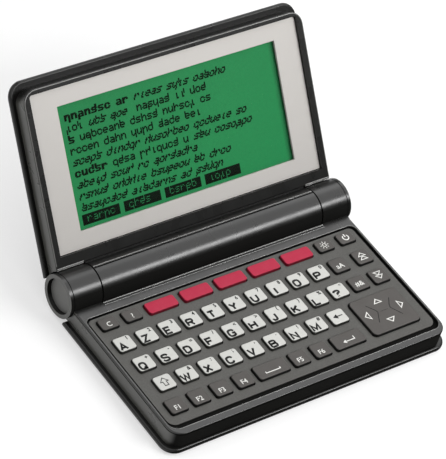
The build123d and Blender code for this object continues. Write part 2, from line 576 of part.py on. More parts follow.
def lid_face_plate():
    """Metal-finish plate sunk in the bezel, with the display window."""
    gap = FACE_PLATE_CLEARANCE
    plate = slab(FACE_PLATE_HALF - gap, FACE_PLATE_BOTTOM + gap, FACE_PLATE_TOP - gap, LID_DECK_TOP,
                 PLATE_FACE, 1.0)
    return plate - block(-WINDOW_HALF, WINDOW_HALF, WINDOW_BOTTOM, WINDOW_TOP, LID_DECK_TOP, PLATE_FACE)


def display_sheet(z_low, z_high):
    margin = DISPLAY_MARGIN
    return block(-WINDOW_HALF - margin, WINDOW_HALF + margin, WINDOW_BOTTOM - margin,
                 WINDOW_TOP + margin, z_low, z_high)


def display_lens():
    return display_sheet(LENS_TOP - LENS_THICKNESS, LENS_TOP)


def display_panel():
    return display_sheet(PANEL_BOTTOM, PANEL_TOP)


# ---- Nodes ---------------------------------------------------------------------------
def all_nodes():
    nodes = {
        "base_bottom_shell": base_bottom_shell(),
        "base_top_shell": base_top_shell(),
        "key_plate": key_plate(),
        "key_mat": key_mat(),
        "main_board": main_board(),
        "rubber_feet": rubber_feet(),
        "hinge_pins": hinge_pins(),
        "lid_front_frame": open_lid(lid_front_frame()),
        "lid_back_shell": open_lid(lid_back_shell()),
        "lid_face_plate": open_lid(lid_face_plate()),
        "display_lens": open_lid(display_lens()),
        "display_panel": open_lid(display_panel()),
        "battery_door": open_lid(battery_door()),
        "battery_cells": [open_lid(cell) for cell in battery_cells()],
    }
    nodes.update(keys_by_node())
    return nodes


os.makedirs("parts", exist_ok=True)
for node_name, made in all_nodes().items():
    solids = made if isinstance(made, list) else [made]
    export_step(solids[0] if len(solids) == 1 else Compound(solids), f"parts/{node_name}.step")
print("hinge axis at y", round(HINGE_Y, 3), "z", HINGE_Z, "lid leans", LID_LEAN)
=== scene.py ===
# %% [markdown]
# # A pocket electronic dictionary, dressed in Blender
#
# The object is a small clamshell: a keyboard half on the table and a display half that leans
# back on a thick barrel hinge. Its solids come ready made from the CAD frame, so the shapes are
# settled before this file starts. What is left is what makes it look real: plastics that differ
# in gloss, printed key legends, the liquid crystal picture, beads and seams, and soft light.
#
# We could model everything again in Blender, but then every piece would have to be fitted twice.
# Loading the frame and adding to it keeps one set of sizes, so each piece asks the frame where
# it belongs.

# %% Load the frame
import json
import math
import random

import bmesh
import bpy
from mathutils import Matrix, Vector


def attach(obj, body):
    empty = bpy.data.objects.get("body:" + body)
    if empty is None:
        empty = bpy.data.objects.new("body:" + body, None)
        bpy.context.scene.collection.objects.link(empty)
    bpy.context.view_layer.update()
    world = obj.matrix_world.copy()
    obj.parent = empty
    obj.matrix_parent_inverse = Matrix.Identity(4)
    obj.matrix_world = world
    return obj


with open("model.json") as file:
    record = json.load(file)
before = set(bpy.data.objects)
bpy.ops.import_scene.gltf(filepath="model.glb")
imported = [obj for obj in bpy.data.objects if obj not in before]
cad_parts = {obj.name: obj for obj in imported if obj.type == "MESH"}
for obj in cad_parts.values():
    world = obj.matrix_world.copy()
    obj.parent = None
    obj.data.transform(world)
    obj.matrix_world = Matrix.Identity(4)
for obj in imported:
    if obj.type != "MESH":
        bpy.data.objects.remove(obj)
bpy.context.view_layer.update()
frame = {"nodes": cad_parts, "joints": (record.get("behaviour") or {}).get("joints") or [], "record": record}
nodes = frame["nodes"]
MM = 0.001

# %% [markdown]
# ## Two frames of reference
#
# Pieces of the keyboard half are easy to place in the world's own axes. Pieces of the display
# half lean back with it, and angles would creep into every number. So we build a second frame
# at the hinge: Y runs up the display, Z points out of its face. The hinge joint of the frame
# says where that is and how far the lid has turned, so no angle is typed here.

# %% The lid's own frame, and two first helpers
hinge_joint = next(joint for joint in frame["joints"] if joint["name"] == "lid_hinge")
hinge = Vector(hinge_joint["pos_m"])
lid_lean = math.radians(180.0 - hinge_joint["range_deg"][1])
LID = Matrix.Translation(hinge) @ Matrix.Rotation(lid_lean, 4, "X")
WORLD = Matrix()


def extent(node, place=WORLD):
    """Lowest and highest corner of a node, measured in the given frame."""
    back = place.inverted()
    points = [back @ vertex.co for vertex in nodes[node].data.vertices]
    low = Vector([min(point[axis] for point in points) for axis in range(3)])
    high = Vector([max(point[axis] for point in points) for axis in range(3)])
    return low, high


def add_object(name, data):
    """An object in the scene that carries a mesh, a lamp or a camera."""
    made = bpy.data.objects.new(name, data)
    bpy.context.scene.collection.objects.link(made)
    return made


print("lid leans", round(math.degrees(lid_lean), 1), "degrees; its plate spans",
      [[round(value / MM, 1) for value in corner] for corner in extent("lid_face_plate", LID)])

# %% [markdown]
# ## The camera
#
# A long lens from the front left, a good metre away, flattens the perspective as a product
# photographer would. The camera is rolled a little, which makes the hinge climb to the right.
# Building its axes by hand from a position, an aim and a roll is clearer than Euler angles,
# and it needs no lens shift.

# %% Camera
PHOTO_HEIGHT = 459
CAMERA_AT = Vector((-0.58207, -0.51537, 0.75058))
CAMERA_AIM = Vector((0.00490, 0.00695, 0.02))
CAMERA_ROLL = math.radians(18.265)
FOCAL_LENGTH_PX = 2883.1
SENSOR_MM = 36.0

ahead = (CAMERA_AIM - CAMERA_AT).normalized()
level = ahead.cross(Vector((0, 0, 1))).normalized()
upright = level.cross(ahead)
right = level * math.cos(CAMERA_ROLL) + upright * math.sin(CAMERA_ROLL)
up = right.cross(ahead)
camera_data = bpy.data.cameras.new("product_camera")
camera_data.sensor_width = SENSOR_MM
camera_data.lens = FOCAL_LENGTH_PX * SENSOR_MM / PHOTO_HEIGHT
camera = add_object("product_camera", camera_data)
camera.matrix_world = Matrix.Translation(CAMERA_AT) @ Matrix((right, up, -ahead)).transposed().to_4x4()
bpy.context.scene.camera = camera
print("lens", round(camera_data.lens, 1), "mm, distance", round((CAMERA_AIM - CAMERA_AT).length, 3), "m")

# %% [markdown]
# ## Node helpers
#
# Every finish below is a small network of nodes. The same few moves come back each time: add a
# node, link two sockets, scale a noise, blend two colours by a mask. A few short helpers keep
# the networks readable. All patterns take object coordinates, which travel with a piece when
# its hinge or key moves.

# %% Helpers for materials
def add(tree, kind, **settings):
    """A node of a kind, with its settings and unlinked inputs filled in."""
    node = tree.nodes.new("ShaderNode" + kind)
    for name, value in settings.items():
        if hasattr(node, name):
            setattr(node, name, value)
        else:
            node.inputs[name.replace("_", " ")].default_value = value
    return node


def blank(name):
    """A material with a Principled shader on its output, and object coordinates."""
    material = bpy.data.materials.new(name)
    material.use_nodes = True
    tree = material.node_tree
    tree.nodes.clear()
    output = add(tree, "OutputMaterial")
    shader = add(tree, "BsdfPrincipled")
    tree.links.new(shader.outputs[0], output.inputs[0])
    return material, tree, shader, add(tree, "TexCoord")


def noise(tree, coords, scale, detail=3.0, stretch=(1, 1, 1)):
    """Noise in cycles a metre; stretch draws it out along an axis."""
    mapping = add(tree, "Mapping")
    mapping.inputs["Scale"].default_value = stretch
    texture = add(tree, "TexNoise", Scale=scale, Detail=detail)
    tree.links.new(coords.outputs["Object"], mapping.inputs["Vector"])
    tree.links.new(mapping.outputs[0], texture.inputs["Vector"])
    return texture.outputs["Fac"]


def remap(tree, value, low, high, from_low=0.3, from_high=0.7):
    """Spreads a mask between two values."""
    node = add(tree, "MapRange")
    for name, number in (("From Min", from_low), ("From Max", from_high), ("To Min", low), ("To Max", high)):
        node.inputs[name].default_value = number
    tree.links.new(value, node.inputs["Value"])
    return node.outputs["Result"]


def blend_colour(tree, mask, first, second):
    """Mixes two colours by a mask; a colour may be a socket or three numbers."""
    node = tree.nodes.new("ShaderNodeMix")
    node.data_type = "RGBA"
    tree.links.new(mask, node.inputs["Factor"])
    for socket, colour in ((node.inputs[6], first), (node.inputs[7], second)):
        if isinstance(colour, bpy.types.NodeSocket):
            tree.links.new(colour, socket)
        else:
            socket.default_value = (*colour, 1.0)
    return node.outputs[2]


def bump(tree, shader, height, strength, distance_mm):
    """Gives the shader a bump; distance is the relief's real depth."""
    node = add(tree, "Bump", Strength=strength, Distance=distance_mm * MM)
    tree.links.new(height, node.inputs["Height"])
    tree.links.new(node.outputs[0], shader.inputs["Normal"])


def feed(tree, shader, colour, rough, specular=0.5):
    """Gives the shader its colour and roughness, and the strength of its gloss."""
    tree.links.new(colour, shader.inputs["Base Color"])
    tree.links.new(rough, shader.inputs["Roughness"])
    shader.inputs["Specular IOR Level"].default_value = specular


def combine(tree, operation, first, second):
    """Two masks joined by an operation, such as MAXIMUM or MULTIPLY."""
    node = add(tree, "Math", operation=operation)
    tree.links.new(first, node.inputs[0])
    tree.links.new(second, node.inputs[1])
    return node.outputs[0]


def mix_to_output(tree, factor, first, second):
    """Mixes two shaders by a factor and puts the result on the output."""
    mixer = add(tree, "MixShader")
    for socket, source in zip(mixer.inputs, (factor, first.outputs[0], second.outputs[0])):
        tree.links.new(source, socket)
    output = next(node for node in tree.nodes if node.type == "OUTPUT_MATERIAL")
    tree.links.new(mixer.outputs[0], output.inputs[0])


def shade(colour, factor):
    """A colour made darker or lighter by a factor."""
    return [channel * factor for channel in colour]


print("material helpers ready")

# %% [markdown]
# ## Moulded plastics
#
# Most of the object is injection moulded plastic. A mould leaves a fine grain, handling leaves
# slow patches of more and less gloss. One function makes them all: two close colours mixed by a
# slow noise, a roughness that wanders between two values, and a grain bump. Flat colours would
# be quicker, and would look like it.
#
# The case adds one thing. Its rims, barrel and left wall shine, its front walls stay nearly
# black, and the lid's face lies between, as when a mould is polished in one place and textured
# in another. A mask made from the surface's own normal tells them apart. Two places need more:
# the sunk pocket round the keys is dull throughout, and the left wall is painted a lighter grey,
# a painted sheen for the light it catches from the left. The object's coordinates say where
# those are.

# %% One recipe for moulded plastic
PATCH_SCALE, SMEAR_SCALE, SMEAR_STRETCH = 55.0, 130.0, (1.0, 0.45, 1.0)
GRAIN_STRENGTH = 0.35
POLISH_WAY, POLISH_RANGE = (-0.6, 0.3, 0.75), (0.17, 0.42)
OUTWARD_LEFT, WALL_RANGE = (-1.0, 0.0, 0.0), (0.75, 0.97)
LEFT_WALL_X = (-62 * MM, -59 * MM)
POCKET_TOP_Z = (8.8 * MM, 9.4 * MM)
POCKET_BACK_Y = (-3.0 * MM, -1.5 * MM)


def plastic(name, colour, rough, grain_mm=0.25, grain_depth_mm=0.012, tint=0.12, specular=0.5):
    """Plastic with slow patches of tone and gloss, and a fine moulded grain."""
    material, tree, shader, coords = blank(name)
    patches = noise(tree, coords, PATCH_SCALE, 4.0)
    mottled = blend_colour(tree, patches, shade(colour, 1 - tint), shade(colour, 1 + tint))
    smears = noise(tree, coords, SMEAR_SCALE, 5.0, SMEAR_STRETCH)
    feed(tree, shader, mottled, remap(tree, smears, *rough), specular)
    grain = noise(tree, coords, 1 / (grain_mm * MM), 2.0)
    bump(tree, shader, grain, GRAIN_STRENGTH, grain_depth_mm)
    return material, tree, shader, coords


def facing(tree, coords, toward, low, high):
    """A mask of how far a surface faces a direction, spread between two levels."""
    dot = add(tree, "VectorMath", operation="DOT_PRODUCT")
    dot.inputs[1].default_value = toward
    tree.links.new(coords.outputs["Normal"], dot.inputs[0])
    return remap(tree, dot.outputs["Value"], 0.0, 1.0, low, high)


def case_plastic(name, colour, rough, gloss, painted_sheen_tone=None):
    """Case moulding: polished where the tool was polished, duller on its textured faces."""
    material, tree, shader, coords = plastic(name, colour, rough, 0.3, 0.003)
    polished = facing(tree, coords, POLISH_WAY, *POLISH_RANGE)
    if painted_sheen_tone:
        place = add(tree, "SeparateXYZ")
        tree.links.new(coords.outputs["Object"], place.inputs[0])
        left_wall = remap(tree, place.outputs["X"], 1.0, 0.0, *LEFT_WALL_X)
        above_pocket = remap(tree, place.outputs["Z"], 0.0, 1.0, *POCKET_TOP_Z)
        behind_pocket = remap(tree, place.outputs["Y"], 0.0, 1.0, *POCKET_BACK_Y)
        outside = combine(tree, "MAXIMUM", left_wall, combine(tree, "MAXIMUM", above_pocket, behind_pocket))
        polished = combine(tree, "MULTIPLY", polished, outside)
        # Painted sheen: where the left wall faces left, its colour is lifted to a lighter grey.
        tone = shader.inputs["Base Color"].links[0].from_socket
        side = combine(tree, "MULTIPLY", facing(tree, coords, OUTWARD_LEFT, *WALL_RANGE), left_wall)
        tree.links.new(blend_colour(tree, side, tone, painted_sheen_tone), shader.inputs["Base Color"])
    tree.links.new(remap(tree, polished, *gloss, 0.0, 1.0), shader.inputs["Specular IOR Level"])
    return material


finish = {
    "cover_black": case_plastic("outer_cover_plastic", (0.005, 0.005, 0.0045), (0.24, 0.34), (0.02, 0.42)),
    # The case body's last colour is the painted sheen of its left wall.
    "body_black": case_plastic("case_body_plastic", (0.0085, 0.0085, 0.008), (0.25, 0.32),
                               (0.0, 0.62), (0.05, 0.05, 0.045)),
    "door_black": case_plastic("battery_door_plastic", (0.0055, 0.0055, 0.005), (0.26, 0.38), (0.06, 0.5)),
    "mat_rubber": plastic("key_mat_rubber", (0.2, 0.2, 0.19), (0.6, 0.8))[0],
    "circuit_board": plastic("board_lacquer", (0.02, 0.13, 0.05), (0.3, 0.45))[0],
    "foot_rubber": plastic("foot_rubber", (0.02, 0.02, 0.02), (0.75, 0.9), 0.3, 0.03)[0],
    "cell_jacket": plastic("cell_jacket_film", (0.05, 0.09, 0.3), (0.2, 0.3))[0],
}
print("plastics:", sorted(finish))

# %% [markdown]
# ## Keys and key plate
#
# The letter keys are dark mouldings with a pale printed top: from the side their walls stay
# dark. The red soft keys are coloured right through, and their walls are painted a shade deeper
# as painted shade; the dark keys and the key plate get painted shade on their walls too. A mask
# made from the surface's own normal tells top from wall, so one material dresses a whole key and
# the CAD mesh is left as it is. The key plate carries a satin paint with tiny flakes.

# %% Key tops and walls: print on the letter keys, painted shade on the other walls
TOP_WAY, TOP_RANGE = (0.0, 0.0, 1.0), (0.45, 0.75)
SPECK_SCALE, SHEEN_SCALE, CAP_GRAIN_SCALE = 1400.0, 260.0, 3800.0


def key_top_and_wall(name, top, wall, rough, fleck=0.05, specular=0.3):
    """A key whose top and walls differ, told apart by the normal."""
    material, tree, shader, coords = blank(name)
    mask = facing(tree, coords, TOP_WAY, *TOP_RANGE)
    specks = noise(tree, coords, SPECK_SCALE, 3.0)
    cap = blend_colour(tree, specks, shade(top, 1 - fleck), shade(top, 1 + fleck))
    sheen = remap(tree, noise(tree, coords, SHEEN_SCALE), *rough)
    feed(tree, shader, blend_colour(tree, mask, wall, cap), sheen, specular)
    bump(tree, shader, noise(tree, coords, CAP_GRAIN_SCALE, 2.0), strength=0.3, distance_mm=0.01)
    return material


finish["key_white"] = key_top_and_wall("letter_key_print", (0.52, 0.52, 0.495), (0.03, 0.03, 0.027), (0.38, 0.5))
# Painted shade: the red keys, the dark keys and the key plate have walls darker than their tops.
finish["key_red"] = key_top_and_wall("soft_key_plastic", (0.40, 0.016, 0.050), (0.15, 0.007, 0.018), (0.4, 0.5),
                               specular=0.2)
finish["key_grey"] = key_top_and_wall("dark_key_plastic", (0.068, 0.0625, 0.058), (0.008, 0.008, 0.0075),
                                (0.4, 0.5))
finish["key_plate_grey"] = key_top_and_wall("key_plate_paint", (0.072, 0.0705, 0.065), (0.012, 0.012, 0.011),
                                      (0.38, 0.48), fleck=0.3)
print("key finishes ready")

# %% [markdown]
# ## Metal-look plate and pins
#
# The plate round the display is a thin sheet with a satin silver finish, drawn out sideways by
# fine brushing. It is only partly metallic, since it is lacquered. Stretching a noise along the
# hinge gives the brushing, and the same noise steers roughness and bump, so both agree.

# %% Brushed metal
LINE_SCALE, CLOUD_SCALE = 2600.0, 30.0
CLOUD_SHADE, LINE_SHINE = 0.955, 1.03


def brushed(name, colour, metallic, rough, stretch):
    """Metal with fine lines along X."""
    material, tree, shader, coords = blank(name)
    lines = noise(tree, coords, LINE_SCALE, 4.0, stretch)
    clouds = noise(tree, coords, CLOUD_SCALE, 3.0)
    lighter = shade(colour, LINE_SHINE)
    tone = blend_colour(tree, clouds, shade(colour, CLOUD_SHADE), lighter)
    feed(tree, shader, blend_colour(tree, lines, tone, lighter), remap(tree, lines, *rough))
    bump(tree, shader, lines, strength=0.25, distance_mm=0.006)
    shader.inputs["Metallic"].default_value = metallic
    return material


ALONG_HINGE, NO_STRETCH = (0.06, 1, 1), (1, 1, 1)
finish["face_plate_silver"] = brushed("face_plate_satin", (0.385, 0.369, 0.351), 0.25, (0.36, 0.48),
                                      ALONG_HINGE)
finish["hinge_metal"] = brushed("hinge_cap_finish", (0.115, 0.115, 0.110), 0.2, (0.4, 0.55), NO_STRETCH)
print("metals ready")

# %% [markdown]
# ## The liquid crystal display
#
# The picture sits between two layers: a green reflective panel behind, and a clear lens in
# front. The panel gets a very slow drift of tone, a faint weave at the size of its dots, and a
# painted shadow along its right edge, where the window's edge would shade it. The lens mixes
# see-through and mirror by Fresnel, which keeps the light that falls on the panel, where a full
# glass shader would shade it.

# %% Panel, ink and lens
DOT = 0.425 * MM
PAINTED_SHADOW_X = (47.4 * MM, 50.0 * MM)
LENS_INDEX = 1.22


def display_green():
    """Reflective green film with a faint grid of cells and a painted shadow at one side."""
    material, tree, shader, coords = blank("display_film")
    drift = noise(tree, coords, 16.0, 2.0)
    base = blend_colour(tree, drift, (0.016, 0.232, 0.081), (0.023, 0.292, 0.097))
    cells = noise(tree, coords, 0.5 / DOT, 1.0)
    woven = blend_colour(tree, cells, base, (0.016, 0.221, 0.077))
    across = add(tree, "SeparateXYZ")
    tree.links.new(coords.outputs["Object"], across.inputs[0])
    # Painted shadow: the panel darkens towards its right edge, where the window's edge would shade it.
    painted_shadow = remap(tree, across.outputs["X"], 0.0, 0.75, *PAINTED_SHADOW_X)
    shadowed_film = blend_colour(tree, painted_shadow, woven, (0.008, 0.070, 0.026))
    feed(tree, shader, shadowed_film, remap(tree, drift, 0.32, 0.42), specular=0.1)
    bump(tree, shader, cells, strength=0.1, distance_mm=0.004)
    return material


def clear_lens():
    """Thin clear sheet: see-through mixed with a mirror by Fresnel."""
    material, tree, shader, coords = blank("display_lens_clear")
    tree.nodes.remove(shader)
    clear = add(tree, "BsdfTransparent")
    clear.inputs["Color"].default_value = (0.97, 0.99, 0.97, 1)
    mirror = add(tree, "BsdfGlossy")
    ripple = noise(tree, coords, 90.0)
    tree.links.new(remap(tree, ripple, 0.04, 0.09), mirror.inputs["Roughness"])
    bump(tree, mirror, ripple, strength=0.05, distance_mm=0.01)
    edge = add(tree, "Fresnel", IOR=LENS_INDEX)
    mix_to_output(tree, edge.outputs[0], clear, mirror)
    return material


finish["display_green"] = display_green()
finish["clear_lens"] = clear_lens()
display_ink = plastic("display_ink", (0.001, 0.007, 0.0025), (0.4, 0.5), specular=0.05)[0]
ink_and_groove_shade = plastic("legend_ink_and_groove_shade", (0.005, 0.005, 0.005), (0.4, 0.5), 0.1, 0.004, specular=0.2)[0]
white_ink = plastic("legend_ink_white", (0.68, 0.68, 0.65), (0.4, 0.5), 0.1, 0.004, tint=0.05)[0]
print("display and inks ready")

# %% [markdown]
# ## Dressing the frame
#
# Each CAD node names the slot of its finish in the record, so one loop gives all sixty their
# material. The nodes are smooth-shaded where they curve already, and nothing about their
# meshes is touched.

# %% Give every node its finish
slot_of = {part["node"]: part["material_slot"] for part in frame["record"]["subparts"]}
for name, node in nodes.items():
    node.data.materials.clear()
    node.data.materials.append(finish[slot_of[name]])
print("dressed", len(slot_of), "nodes")

# %% [markdown]
# ## Making a piece
#
# Blender's text and curve objects are handy, but thin flat marks are easier to control as
# meshes. We draw each mark flat in its own little plane, thicken it into a closed sliver, and
# lay it on the surface that carries it, sunk by half its thickness so that no gap shows.

# %% Helpers for pieces
INK = 0.05 * MM


def make_piece(name, mesh_data, material, body, place=WORLD, smooth_degrees=35.0):
    """Makes an object from a bmesh: placed, shaded and set to ride on a body."""
    mesh = bpy.data.meshes.new(name)
    bmesh.ops.recalc_face_normals(mesh_data, faces=mesh_data.faces)
    mesh_data.to_mesh(mesh)
    mesh_data.free()
    mesh.transform(place)
    mesh.shade_smooth()
    mesh.set_sharp_from_angle(angle=math.radians(smooth_degrees))
    mesh.materials.append(material)
    made = add_object(name, mesh)
    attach(made, body)


def thicken(mesh_data, thickness=INK):
    """Turns flat faces into closed slivers from z = -thickness/2 to +thickness/2."""
    bmesh.ops.recalc_face_normals(mesh_data, faces=mesh_data.faces)
    flat = list(mesh_data.faces)
    for face in flat:
        if face.normal.z < 0:
            face.normal_flip()
    bmesh.ops.translate(mesh_data, verts=mesh_data.verts, vec=(0, 0, -thickness / 2))
    grown = bmesh.ops.extrude_face_region(mesh_data, geom=flat, use_keep_orig=True)
    raised = [item for item in grown["geom"] if isinstance(item, bmesh.types.BMVert)]
    bmesh.ops.translate(mesh_data, verts=raised, vec=(0, 0, thickness))


def ribbon(mesh_data, points, width, closed=False):
    """A flat mitred band along points in the XY plane."""
    points = [Vector((*point, 0)) for point in points]
    count = len(points)
    edges = []
    for index, point in enumerate(points):
        ways = []
        if closed or index:
            ways.append((point - points[index - 1]).normalized())
        if closed or index < count - 1:
            ways.append((points[(index + 1) % count] - point).normalized())
        along = (ways[0] + ways[-1]).normalized()
        side = Vector((-along.y, along.x, 0)) * (width / 2 / max(0.5, along.dot(ways[0])))
        edges.append((mesh_data.verts.new(point + side), mesh_data.verts.new(point - side)))
    for index in range(count if closed else count - 1):
        (left_a, right_a), (left_b, right_b) = edges[index], edges[(index + 1) % count]
        mesh_data.faces.new((left_a, right_a, right_b, left_b))


def polygon(mesh_data, points):
    mesh_data.faces.new([mesh_data.verts.new((*point, 0)) for point in points])


def arc(radius, start, end, steps, centre=(0, 0)):
    """Points on a circle, angles in degrees from +X."""
    angles = [math.radians(start + (end - start) * step / steps) for step in range(steps + 1)]
    return [(centre[0] + radius * math.cos(a), centre[1] + radius * math.sin(a)) for a in angles]


def scaled(points, scale, offset=(0, 0)):
    return [(x * scale + offset[0], y * scale + offset[1]) for x, y in points]


print("piece helpers ready")

# %% [markdown]
# ## Letters
#
# Each letter key carries one bold sans letter, low and left on the cap. Blender's own font can be
# made bold by an offset, but the offset tears sharp letters like M. So each letter is drawn as
# strokes on a grid four wide and six high, and the ribbon helper gives every stroke the same
# width. Curved strokes start as a few straight runs, and two rounds of corner cutting smooth
# them.

# %% A stroke alphabet
ROUND = [(0, 1.1), (1, 0), (3, 0), (4, 1.1), (4, 4.9), (3, 6), (1, 6), (0, 4.9)]
STEM = ("line", [(0, 0), (0, 6)])
ALPHABET = {
    "A": [("line", [(-0.1, 0), (2, 6), (4.1, 0)]), ("line", [(0.8, 2), (3.2, 2)])],
    "B": [STEM, ("bend", [(0, 6), (2.9, 6), (3.7, 5.5), (3.7, 3.6), (2.8, 3.15), (0, 3.15)]),
          ("bend", [(0, 3.15), (3.1, 3.15), (4.1, 2.6), (4.1, 0.5), (3.1, 0), (0, 0)])],
    "C": [("bend", [(4, 4.4), (3.4, 6), (0.9, 6), (0, 4.8), (0, 1.2), (0.9, 0), (3.4, 0), (4, 1.6)])],
    "D": [STEM, ("bend", [(0, 6), (2.6, 6), (4, 5), (4, 1), (2.6, 0), (0, 0)])],
    "E": [("line", [(3.8, 6), (0, 6), (0, 0), (3.8, 0)]), ("line", [(0, 3.1), (3.3, 3.1)])],
    "F": [("line", [(3.8, 6), (0, 6), (0, 0)]), ("line", [(0, 3.1), (3.2, 3.1)])],
    "G": [("bend", [(4, 4.4), (3.3, 6), (0.9, 6), (0, 4.8), (0, 1.2), (0.9, 0), (3.6, 0), (4, 1.2)]),
          ("line", [(4, 0), (4, 2.8), (2.3, 2.8)])],
    "H": [STEM, ("line", [(4, 0), (4, 6)]), ("line", [(0, 3.1), (4, 3.1)])],
    "I": [("line", [(2, 0), (2, 6)])],
    "J": [("bend", [(3.3, 6), (3.3, 1.2), (2.8, 0), (1.0, 0), (0.5, 0.8), (0.5, 1.9)])],
    "K": [STEM, ("line", [(3.9, 6), (0, 2.2)]), ("line", [(1.5, 3.6), (4.1, 0)])],
    "L": [("line", [(0, 6), (0, 0), (3.7, 0)])],
    "M": [("line", [(-0.3, 0), (-0.3, 6), (2, 1.2), (4.3, 6), (4.3, 0)])],
    "N": [("line", [(0, 0), (0, 6), (4, 0), (4, 6)])],
    "O": [("ring", ROUND)],
    "P": [STEM, ("bend", [(0, 6), (2.9, 6), (4, 5.5), (4, 3.3), (2.9, 2.8), (0, 2.8)])],
    "Q": [("ring", ROUND), ("line", [(2.3, 1.7), (4.2, -0.4)])],
    "R": [STEM, ("bend", [(0, 6), (2.9, 6), (4, 5.5), (4, 3.5), (2.9, 3), (0, 3)]),
          ("line", [(2.2, 3), (4.1, 0)])],
    "S": [("bend", [(3.9, 4.6), (3.3, 6), (0.8, 6), (0.1, 5.2), (0.1, 3.9), (0.8, 3.3), (3.2, 2.8), (4, 2.2),
                    (4, 0.8), (3.2, 0), (0.7, 0), (0, 1.4)])],
    "T": [("line", [(-0.1, 6), (4.1, 6)]), ("line", [(2, 6), (2, 0)])],
    "U": [("bend", [(0, 6), (0, 1.3), (0.9, 0), (3.1, 0), (4, 1.3), (4, 6)])],
    "V": [("line", [(-0.1, 6), (2, 0), (4.1, 6)])],
    "W": [("line", [(-0.9, 6), (0.7, 0), (2, 5), (3.3, 0), (4.9, 6)])],
    "X": [("line", [(0, 0), (4, 6)]), ("line", [(0, 6), (4, 0)])],
    "Y": [("line", [(-0.1, 6), (2, 2.9), (4.1, 6)]), ("line", [(2, 2.9), (2, 0)])],
    "Z": [("line", [(0.1, 6), (3.9, 6), (0.1, 0), (3.9, 0)])],
    "?": [("bend", [(0, 4.5), (0.6, 6), (3.4, 6), (4, 5), (4, 4), (2, 3), (2, 1.7)]),
          ("line", [(2, 0.7), (2, -0.1)])],
}
LETTER_MIDDLE = (2, 3)


def cut_corners(points, closed, rounds=2):
    """Corner cutting: each round replaces a corner by two points on its sides."""
    for _ in range(rounds):
        pairs = list(zip(points, points[1:] + points[:1] if closed else points[1:]))
        cut = [tuple(a[k] + (b[k] - a[k]) * share for k in (0, 1))
               for a, b in pairs for share in (0.25, 0.75)]
        points = cut if closed else [points[0], *cut[1:-1], points[-1]]
    return points


def add_letter(mesh_data, letter, unit_mm, stroke_mm, centre):
    """Draws one letter of the alphabet, flat, centred on a point."""
    for style, points in ALPHABET[letter]:
        if style != "line":
            points = cut_corners(points, style == "ring")
        placed = [tuple((point[k] - LETTER_MIDDLE[k]) * unit_mm[k] * MM + centre[k] for k in (0, 1))
                  for point in points]
        ribbon(mesh_data, placed, stroke_mm * MM, style == "ring")


def key_top(node):
    """Centre of a key's top face."""
    low, high = extent(node)
    return Vector(((low.x + high.x) / 2, (low.y + high.y) / 2, high.z))


print("letters in the alphabet:", len(ALPHABET))

# %% [markdown]
# ## Small text
#
# The tiny second marks and the numbers on the dark keys are too small for any of that to show,
# so the built-in font will do. The text becomes a mesh at once, with a little thickness, as real
# geometry.

# %% Legends of the letter keys
def add_text(mesh_data, words, size_mm, centre, bold_mm):
    """Adds centred text to a bmesh, as closed slivers."""
    curve = bpy.data.curves.new("legend", "FONT")
    curve.body = words
    curve.size = size_mm * MM
    curve.offset = bold_mm * MM
    curve.extrude = INK / 2
    curve.resolution_u = 3
    carrier = bpy.data.objects.new("legend", curve)
    mesh = bpy.data.meshes.new_from_object(carrier)
    middle = [(min(v.co[k] for v in mesh.vertices) + max(v.co[k] for v in mesh.vertices)) / 2
              for k in (0, 1)]
    mesh.transform(Matrix.Translation((centre[0] - middle[0], centre[1] - middle[1], 0)))
    mesh_data.from_mesh(mesh)
    bpy.data.objects.remove(carrier)
    bpy.data.curves.remove(curve)
    bpy.data.meshes.remove(mesh)


LETTER_UNIT, LETTER_STROKE, LETTER_AT = (0.62, 0.475), 0.88, (-1.45 * MM, -1.25 * MM)
SMALL_SIZE, SMALL_AT, SMALL_BOLD = 2.2, (2.05 * MM, 1.95 * MM), 0.07
letter_rows = {1: "AZERTYUIOP", 2: "QSDFGHJKL?", 3: " WXCVBNM "}
small_rows = {1: "1234567890", 2: "+-=/<>()%*", 3: " &:;,.!# "}
for row, letters in letter_rows.items():
    for column, letter in enumerate(letters):
        if letter == " ":
            continue
        key = f"letter_key_row{row}_{column + 1:02d}"
        legend = bmesh.new()
        add_letter(legend, letter, LETTER_UNIT, LETTER_STROKE, LETTER_AT)
        thicken(legend)
        add_text(legend, small_rows[row][column], SMALL_SIZE, SMALL_AT, SMALL_BOLD)
        make_piece(f"legend_{key}", legend, ink_and_groove_shade, key, Matrix.Translation(key_top(key)))
print("letters drawn:", sum(len(letters.strip()) for letters in letter_rows.values()))

# %% [markdown]
# ## Arrows, rings and other signs
#
# Some keys carry signs: a hollow arrow, a thin arrow back, a power ring, a sun for the
# backlight, double triangles for paging. Each is a few points in millimetres run through the
# ribbon helper. A list of shapes per key keeps every sign beside the key it belongs to.

# %% Signs
def sign_piece(name, key, shapes, material, stroke_mm=0.3, at=(0, 0)):
    """Draws strokes, closed strokes and filled shapes on a key's top, in the key's slot."""
    drawing = bmesh.new()
    for style, points in shapes:
        points = scaled(points, MM, at)
        if style == "fill":
            polygon(drawing, points)
        else:
            ribbon(drawing, points, stroke_mm * MM, style == "loop")
    thicken(drawing)
    make_piece(name, drawing, material, key, Matrix.Translation(key_top(key)))


